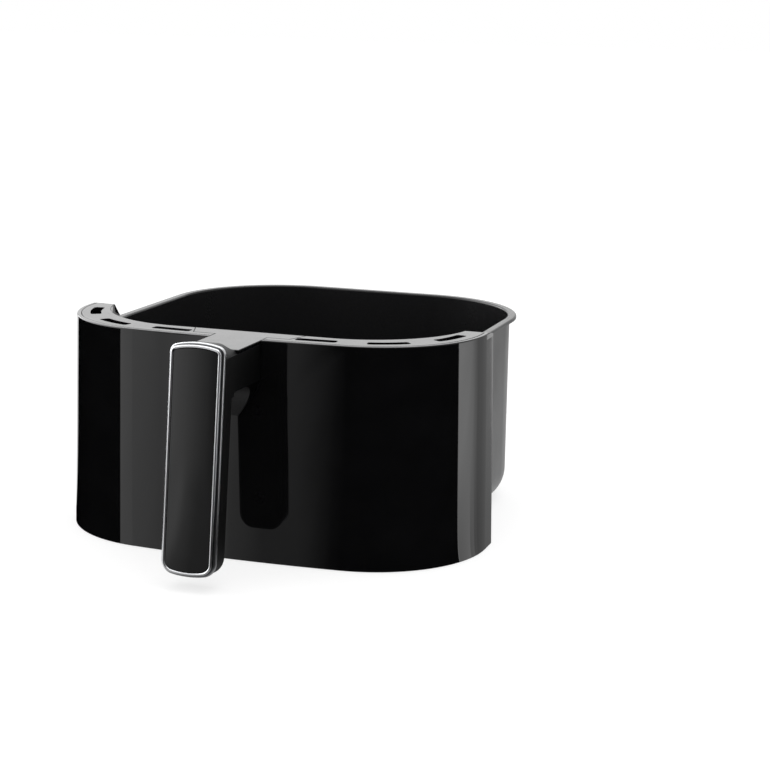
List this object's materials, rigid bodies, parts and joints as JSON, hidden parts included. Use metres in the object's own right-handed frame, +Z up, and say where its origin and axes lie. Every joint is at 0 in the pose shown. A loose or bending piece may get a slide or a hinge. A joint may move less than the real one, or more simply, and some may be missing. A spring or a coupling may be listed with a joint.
{
  "type": "air fryer drawer",
  "caption": "Pull-out air fryer drawer: deep rounded-square pan with lift-out crisper plate, gloss black wrap-round front, slotted vent rim and upright handle with bright trim.",
  "frame": {"origin": "centre of the pan's flat underside, on the surface that the drawer stands on", "axes": "+Z up, -Y towards the handle, +X to the right of someone facing the drawer's front"},
  "size_m": [0.3014, 0.366, 0.1565],
  "materials": {
    "pan_coating": "black non-stick coating, satin",
    "plate_coating": "black non-stick coating, satin",
    "silicone": "matte",
    "gloss_black": "high gloss",
    "liner_black": "fine moulded texture",
    "satin_black": "satin",
    "grip_black": "satin",
    "insert_black": "gloss",
    "bright_trim": "bright plated",
    "zinc_steel": "zinc plated"
  },
  "bodies": {
    "drawer": {"pan": "pan_coating", "front_cover": "gloss_black", "front_liner": "liner_black", "rim_right": "satin_black", "rim_left": "satin_black", "neck_plate": "satin_black", "handle_grip": "grip_black", "handle_trim_ring": "bright_trim", "handle_insert": "insert_black", "handle_bracket": "zinc_steel", "bracket_rivets": "zinc_steel", "liner_screws": "zinc_steel", "handle_screws": "zinc_steel", "cover_screws": "zinc_steel", "insert_screws": "zinc_steel"},
    "crisper": {"crisper_plate": "plate_coating", "bumper_front": "silicone", "bumper_right": "silicone", "bumper_rear": "silicone", "bumper_left": "silicone"}
  },
  "joints": [
    {"name": "crisper_lift", "type": "slide", "parent": "drawer", "child": "crisper", "axis": [0, 0, 1], "range_m": [0, 0.155]}
  ]
}
